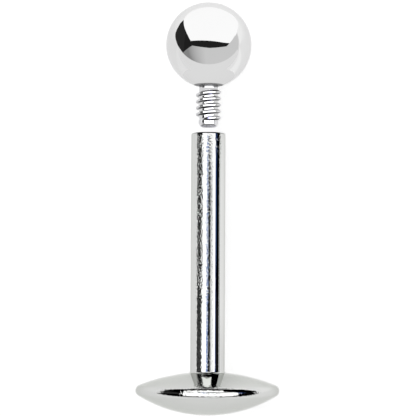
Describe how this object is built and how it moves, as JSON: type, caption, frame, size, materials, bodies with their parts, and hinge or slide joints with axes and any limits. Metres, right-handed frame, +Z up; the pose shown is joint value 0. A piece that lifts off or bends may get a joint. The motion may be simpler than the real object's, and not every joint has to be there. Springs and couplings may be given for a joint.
{
  "type": "labret stud",
  "caption": "Straight tube with a lens-shaped disc at one end and a ball on a threaded pin at the other, polished steel, ball unscrewed.",
  "frame": {"origin": "on the surface that the stud lies on, under the middle of its box", "axes": "+X along the stud from the disc to the ball, +Z up; the stud lies on its side on the disc's rim and the ball, so its own axis leans 4.7 degrees down towards the ball"},
  "size_m": [0.0192, 0.0066, 0.0066],
  "materials": {
    "polished_steel": "polished, with fine turning marks",
    "mirror_steel": "mirror polished",
    "threaded_steel": "machined and tumbled bright"
  },
  "bodies": {
    "post": {"post": "polished_steel"},
    "ball_end": {"ball": "mirror_steel", "screw": "threaded_steel"}
  },
  "joints": [
    {"name": "ball_end_slide", "type": "slide", "parent": "post", "child": "ball_end", "axis": [0.9966, 0, -0.0818], "range_m": [-0.00223, 0]}
  ]
}
